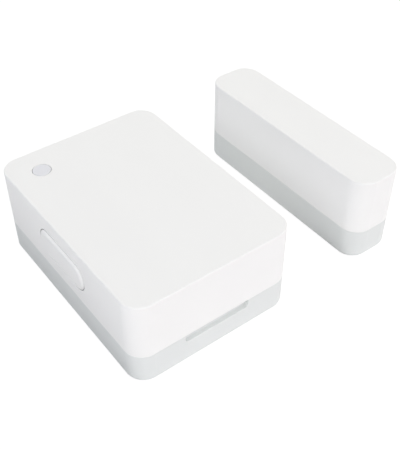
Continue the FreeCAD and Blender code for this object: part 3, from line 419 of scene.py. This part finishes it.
# Leads of the reed switch, soldered under the board
LEAD_INSET = 0.22
LEAD_PAD_RADIUS = 0.62
LEAD_PAD_BORE = 0.36
CONE_RADIUS = 0.42
CONE_HEIGHT = 0.28
CONE_TAPER = 0.45

# Places of the plated holes. From this Y on they also show underneath, clear of the battery holder.
VIA_PLACES = (
    (4.2, -9.5), (4.2, -6.0), (4.6, -2.4), (-4.4, -9.0), (-4.4, -2.6), (5.6, 1.8), (-5.4, 1.6),
    (0.8, 5.2), (2.6, 6.4), (-2.6, 5.6), (-4.0, 8.2), (4.8, 9.2), (-6.4, 9.6),
)
VIA_UNDER_FROM = 5.0

# Corners of the tracks on both sides of the board
TOP_TRACKS = (
    ((2.8, -4.6), (4.6, -4.6), (4.6, -2.4)),
    ((2.8, -6.0), (4.2, -6.0)),
    ((-2.8, -7.6), (-4.4, -9.0)),
    ((-2.8, -4.6), (-4.4, -4.6), (-4.4, -2.6)),
    ((1.2, -8.7), (1.2, -9.8)),
    ((-1.2, -8.7), (-1.2, -9.8)),
    ((-0.8, -3.2), (-0.8, -0.8)),
    ((0.8, -3.2), (0.8, -0.8)),
    ((-2.4, 0.9), (-2.4, 1.8), (-3.2, 2.2)),
    ((0.8, 0.9), (0.8, 1.6), (0.0, 2.2)),
    ((3.2, 3.8), (3.2, 5.4), (2.6, 6.4)),
    ((0.0, 3.8), (0.8, 5.2)),
    ((-3.2, 3.8), (-3.2, 5.0), (-2.6, 5.6)),
    ((4.0, 0.9), (5.6, 1.8), (5.6, 9.0), (2.4, 11.4), (-1.5, 11.4), (-1.5, 12.4)),
    ((-5.4, 1.6), (-5.4, 8.8), (-6.9, 10.6), (-6.9, 11.8)),
    ((-6.4, 9.6), (-8.1, 10.8), (-8.1, 11.7)),
)
UNDERSIDE_TRACKS = (
    ((0.8, 5.2), (0.8, 8.8), (0.0, 9.8), (0.0, 11.4)),
    ((-2.6, 5.6), (-2.6, 9.6), (-1.8, 10.6), (-1.8, 11.4)),
    ((2.6, 6.4), (2.6, 9.6), (1.8, 10.6), (1.8, 11.4)),
    ((-4.0, 8.2), (-4.0, 10.0), (-3.6, 10.6), (-3.6, 11.4)),
    ((4.8, 9.2), (3.6, 10.6), (3.6, 11.4)),
    ((-6.4, 9.6), (-6.4, 12.4), (-5.0, 13.6), (5.0, 13.6)),
    ((8.8, 7.6), (8.8, 3.0), (7.4, 1.6)),
)


def in_mm(node):
    """A CAD node's low and high corners in millimetres."""
    return [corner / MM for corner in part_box(node)]


BOARD_LOW, BOARD_HIGH = in_mm("circuit_board")
TOP_SIDE = (BOARD_HIGH.z, 1)
UNDERSIDE = (BOARD_LOW.z, -1)


def rectangle(x, y, width, length):
    """Corners of a rectangle about its middle."""
    left, right = x - width / 2, x + width / 2
    near, far = y - length / 2, y + length / 2
    return [(left, near), (right, near), (right, far), (left, far)]


class Details:
    """One mesh of small flat shapes on the board. Sizes are in millimetres."""

    def __init__(self, name, slot, material):
        self.name = name
        self.slot = slot
        self.material = material
        self.mesh = bmesh.new()

    def prism(self, outline, foot_level, top_level, shrink):
        """A block between two levels with four-sided walls round an outline. Its top can be smaller."""
        count = len(outline)
        middle = sum((Vector(p) for p in outline), Vector((0, 0))) / count
        ends = []
        for z, scale in ((foot_level, 1.0), (top_level, shrink)):
            points = [middle + (Vector(p) - middle) * scale for p in outline]
            ends.append([self.mesh.verts.new(Vector((p.x, p.y, z)) * MM) for p in points])
        foot, top = ends
        for i in range(count):
            j = (i + 1) % count
            self.mesh.faces.new((foot[i], foot[j], top[j], top[i]))
        self.mesh.faces.new(top)
        self.mesh.faces.new(foot[::-1])

    def plate(self, side, outline, proud=COPPER_PROUD, shrink=1.0):
        """A thin plate on one side of the board."""
        level, way = side
        self.prism(outline, level - COPPER_SUNK * way, level + proud * way, shrink)

    def pad(self, side, x, y, width, length):
        """A rectangular pad."""
        self.plate(side, rectangle(x, y, width, length))

    def disc(self, side, x, y, radius, proud=COPPER_PROUD, shrink=1.0):
        """A round pad, or a cone where it shrinks."""
        turns = [2 * math.pi * i / ROUND_STEPS for i in range(ROUND_STEPS)]
        outline = [(x + radius * math.cos(a), y + radius * math.sin(a)) for a in turns]
        self.plate(side, outline, proud, shrink)

    def ring(self, side, x, y, radius, bore):
        """A flat ring, made of one small plate for each step round it."""
        for i in range(ROUND_STEPS):
            a, b = (2 * math.pi * (i + k) / ROUND_STEPS for k in (0, 1))
            outline = [(x + r * math.cos(t), y + r * math.sin(t))
                       for r, t in ((bore, a), (radius, a), (radius, b), (bore, b))]
            self.plate(side, outline)

    def track(self, side, points):
        """A copper track through the points, mitred at its bends."""
        points = [Vector(p) for p in points]
        left, right = [], []
        for i, point in enumerate(points):
            before = (point - points[i - 1]).normalized() if i else None
            after = (points[i + 1] - point).normalized() if i + 1 < len(points) else None
            along = ((before or after) + (after or before)).normalized()
            across = Vector((-along.y, along.x))
            reach = TRACK_WIDTH / 2 / max(MITRE_LEAST, along.dot(before or after))
            left.append(point + across * reach)
            right.append(point - across * reach)
        for i in range(len(points) - 1):
            self.plate(side, [right[i], right[i + 1], left[i + 1], left[i]], TRACK_PROUD)

    def done(self):
        """Hand the mesh over as one piece that rides with the cover."""
        bmesh.ops.recalc_face_normals(self.mesh, faces=self.mesh.faces)
        data = bpy.data.meshes.new(self.name)
        self.mesh.to_mesh(data)
        self.mesh.free()
        data.materials.append(self.material)
        piece = bpy.data.objects.new(self.name, data)
        bpy.context.scene.collection.objects.link(piece)
        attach(piece, "sensor_cover")


def chip_pads(pads):
    """Pads in a row along each side of the radio chip."""
    low, high = in_mm("radio_chip")
    pitch = (high.x - low.x) / (CHIP_PADS_PER_SIDE + 1)
    for i in range(CHIP_PADS_PER_SIDE):
        step = pitch * (i + 1)
        for x in (low.x, high.x):
            pads.pad(TOP_SIDE, x, low.y + step, PAD_REACH * 2, CHIP_PAD_WIDTH)
        for y in (low.y, high.y):
            pads.pad(TOP_SIDE, low.x + step, y, CHIP_PAD_WIDTH, PAD_REACH * 2)


def end_pads(pads, node):
    """A pad under each end of a part."""
    low, high = in_mm(node)
    width = min(END_PAD_WIDTH, (high.x - low.x) / 3)
    for x in (low.x + width / 4, high.x - width / 4):
        pads.pad(TOP_SIDE, x, (low.y + high.y) / 2, width, high.y - low.y + PAD_MARGIN * 2)


def passive_joints(pads, solder, node, count):
    """Pads and solder at both ends of each small part in a row."""
    low, high = in_mm(node)
    pitch = (high.x - low.x - PASSIVE_WIDTH) / (count - 1)
    rise = (high.z - low.z) * FILLET_RISE
    for i in range(count):
        x = low.x + PASSIVE_WIDTH / 2 + pitch * i
        for y in (low.y, high.y):
            pads.pad(TOP_SIDE, x, y, PASSIVE_WIDTH + PAD_MARGIN, PAD_REACH * 2)
            solder.plate(TOP_SIDE, rectangle(x, y, PASSIVE_WIDTH, FILLET_LENGTH), rise, FILLET_TAPER)


def lead_joint(pads, solder, x, y):
    """A ring and a solder cone under the board, where a lead of the reed switch comes through."""
    pads.ring(UNDERSIDE, x, y, LEAD_PAD_RADIUS, LEAD_PAD_BORE)
    solder.disc(UNDERSIDE, x, y, CONE_RADIUS, CONE_HEIGHT, CONE_TAPER)


def lead_joints(pads, solder):
    """Joints at the outer ends of the reed switch's two leads."""
    low, high = in_mm("reed_lead")
    lead_joint(pads, solder, (low.x + high.x) / 2, high.y - LEAD_INSET)
    low, high = in_mm("reed_fixed_blade")
    lead_joint(pads, solder, (low.x + high.x) / 2, low.y + LEAD_INSET)


def contact_pads(pads):
    """Pads under the board at both sides of the battery's contacts."""
    low, high = in_mm("positive_contact")
    for x in (low.x, high.x):
        pads.pad(UNDERSIDE, x, high.y - CONTACT_PAD_LENGTH / 2, CONTACT_PAD_WIDTH, CONTACT_PAD_LENGTH)
    low, high = in_mm("negative_contact")
    for x in (low.x, high.x):
        pads.pad(UNDERSIDE, x, (low.y + high.y) / 2, CONTACT_PAD_WIDTH, high.y - low.y)


def via_rings(pads):
    """Plated holes beside the parts."""
    for x, y in VIA_PLACES:
        pads.ring(TOP_SIDE, x, y, VIA_RADIUS, VIA_BORE)
        if y > VIA_UNDER_FROM:
            pads.ring(UNDERSIDE, x, y, VIA_RADIUS, VIA_BORE)


def test_pads(pads):
    """A centred row of round pads under the board."""
    for i in range(TEST_PADS):
        pads.disc(UNDERSIDE, TEST_PAD_PITCH * (i - (TEST_PADS - 1) / 2), TEST_PAD_Y, TEST_PAD_RADIUS)


def add_board_details():
    """Tracks under the solder mask, tinned pads, plated holes and solder joints."""
    tracks = Details("board_tracks", "board_green", TRACK_GREEN)
    pads = Details("board_pads", "gold_plate", MATERIALS["gold_plate"])
    solder = Details("solder_joints", "nickel_steel", SOLDER)
    chip_pads(pads)
    for node in ("crystal", "chip_antenna", "light_sensor", "status_led"):
        end_pads(pads, node)
    passive_joints(pads, solder, "chip_capacitors", CAPACITORS)
    passive_joints(pads, solder, "chip_resistors", RESISTORS)
    lead_joints(pads, solder)
    contact_pads(pads)
    via_rings(pads)
    test_pads(pads)
    for points in TOP_TRACKS:
        tracks.track(TOP_SIDE, points)
    for points in UNDERSIDE_TRACKS:
        tracks.track(UNDERSIDE, points)
    for details in (tracks, pads, solder):
        details.done()


def camera_axes():
    """The camera's right, up and back directions."""
    azimuth, elevation = CAMERA_AZIMUTH, CAMERA_ELEVATION
    back = Vector((math.sin(azimuth) * math.cos(elevation),
                   -math.cos(azimuth) * math.cos(elevation),
                   math.sin(elevation)))
    right = Vector((math.cos(azimuth), math.sin(azimuth), 0.0))
    return right, back.cross(right), back


def add_camera():
    """The photograph's viewpoint. The sensor's width spans the picture's longer side, its height."""
    right, up, back = camera_axes()
    data = bpy.data.cameras.new("camera")
    data.lens = data.sensor_width * FOCAL_PIXELS / IMAGE_HEIGHT
    data.clip_start = CAMERA_NEAR
    camera = bpy.data.objects.new("camera", data)
    rotation = Matrix((right, up, back)).transposed()
    camera.matrix_world = Matrix.Translation(CAMERA_TARGET + back * CAMERA_DISTANCE) @ rotation.to_4x4()
    bpy.context.scene.collection.objects.link(camera)
    bpy.context.scene.camera = camera


def add_lamp(name, direction, level, colour):
    """A square soft light. Its level is what a white surface facing it shows."""
    data = bpy.data.lights.new(name, "AREA")
    data.shape = "SQUARE"
    data.size = LAMP_SIDE
    data.energy = level * math.pi ** 2 * LAMP_DISTANCE ** 2
    data.color = colour
    lamp = bpy.data.objects.new(name, data)
    towards = Vector(direction).normalized()
    lamp.location = LAMP_AIM + towards * LAMP_DISTANCE
    lamp.rotation_euler = towards.to_track_quat("Z", "Y").to_euler()
    bpy.context.scene.collection.objects.link(lamp)


def seen_plainly(tree):
    """1 for rays that should see the plain white background, from the camera, gloss or glass."""
    path = new_node(tree, "ShaderNodeLightPath")
    seen = path.outputs["Is Camera Ray"]
    for name in ("Is Glossy Ray", "Is Transmission Ray"):
        either = new_node(tree, "ShaderNodeMath", operation="MAXIMUM")
        tree.links.new(seen, either.inputs[0])
        tree.links.new(path.outputs[name], either.inputs[1])
        seen = either.outputs[0]
    return seen


def by_ray(tree, lit, shown):
    """One shader for light that bounces, and another where the background is seen."""
    mix = new_node(tree, "ShaderNodeMixShader")
    tree.links.new(seen_plainly(tree), mix.inputs[0])
    tree.links.new(lit.outputs[0], mix.inputs[1])
    tree.links.new(shown.outputs[0], mix.inputs[2])
    return mix.outputs[0]


def add_world():
    """Even sky light, and plain white where it is seen."""
    world = bpy.data.worlds.new("studio")
    bpy.context.scene.world = world
    world.use_nodes = True
    tree = world.node_tree
    light = tree.nodes["Background"]
    light.inputs["Color"].default_value = (*WORLD_TINT, 1.0)
    light.inputs["Strength"].default_value = WORLD_LEVEL
    shown = new_node(tree, "ShaderNodeBackground")
    shown.inputs["Color"].default_value = (1.0, 1.0, 1.0, 1.0)
    shown.inputs["Strength"].default_value = 1.0
    tree.links.new(by_ray(tree, light, shown), tree.nodes["World Output"].inputs[0])


def share_between(tree, value, low, high):
    """0 where the value is at most low, in mm, and 1 from high on."""
    node = new_node(tree, "ShaderNodeMapRange")
    node.inputs["From Min"].default_value = low * MM
    node.inputs["From Max"].default_value = high * MM
    tree.links.new(value, node.inputs["Value"])
    return node.outputs["Result"]


def grey(albedo):
    """A neutral colour with this albedo."""
    return (albedo, albedo, albedo, 1.0)


def card_ramp(tree, across, steps):
    """Colour along X from pairs of place and albedo."""
    ramp = new_node(tree, "ShaderNodeValToRGB")
    tree.links.new(across, ramp.inputs[0])
    stops = ramp.color_ramp.elements
    stops.remove(stops[1])
    for number, (x, albedo) in enumerate(steps):
        position = (x + CARD_SPAN) / (CARD_SPAN * 2)
        stop = stops.new(position) if number else stops[0]
        stop.position = position
        stop.color = grey(albedo)
    return ramp.outputs["Color"]


def floor_bounce(tree):
    """The floor's colour for bounced light: the card beside and between the units, and the strip in front."""
    place = new_node(tree, "ShaderNodeSeparateXYZ")
    tree.links.new(new_node(tree, "ShaderNodeNewGeometry").outputs["Position"], place.inputs[0])
    across = share_between(tree, place.outputs["X"], -CARD_SPAN, CARD_SPAN)
    turn = share_between(tree, place.outputs["Y"], *CARD_TURN)
    card = blend(tree, turn, card_ramp(tree, across, CARD_FRONT), card_ramp(tree, across, CARD_REAR))
    ahead = share_between(tree, place.outputs["Y"], *STRIP_EDGE)
    strip = blend(tree, ahead, grey(FLOOR_ALBEDO), grey(STRIP_ALBEDO))
    return blend(tree, share_between(tree, place.outputs["Y"], *CARD_EDGE), strip, card)


def floor_material():
    """The card and strip for light that bounces, and near white with a soft shadow where it is seen."""
    material = bpy.data.materials.new("floor_white")
    material.use_nodes = True
    tree = material.node_tree
    tree.nodes.clear()
    bounce = new_node(tree, "ShaderNodeBsdfDiffuse")
    tree.links.new(floor_bounce(tree), bounce.inputs["Color"])
    shadow = new_node(tree, "ShaderNodeBsdfDiffuse")
    shadow.inputs["Color"].default_value = grey(FLOOR_SHOWN_ALBEDO)
    glow = new_node(tree, "ShaderNodeEmission")
    glow.inputs["Strength"].default_value = FLOOR_GLOW
    shown = new_node(tree, "ShaderNodeAddShader")
    tree.links.new(shadow.outputs[0], shown.inputs[0])
    tree.links.new(glow.outputs[0], shown.inputs[1])
    output = new_node(tree, "ShaderNodeOutputMaterial")
    tree.links.new(by_ray(tree, bounce, shown), output.inputs["Surface"])
    return material


def add_floor():
    """A wide floor just under the adhesive pads."""
    mesh = bpy.data.meshes.new("floor")
    half = FLOOR_SIZE / 2
    corners = [(-half, -half), (half, -half), (half, half), (-half, half)]
    mesh.from_pydata([(x, y, -FLOOR_DROP) for x, y in corners], [], [(0, 1, 2, 3)])
    mesh.materials.append(floor_material())
    floor = bpy.data.objects.new("floor", mesh)
    bpy.context.scene.collection.objects.link(floor)


dress_nodes()
add_board_details()
add_world()
add_floor()
add_camera()
for lamp in LAMPS:
    add_lamp(*lamp)
bpy.context.scene.view_settings.view_transform = "Standard"
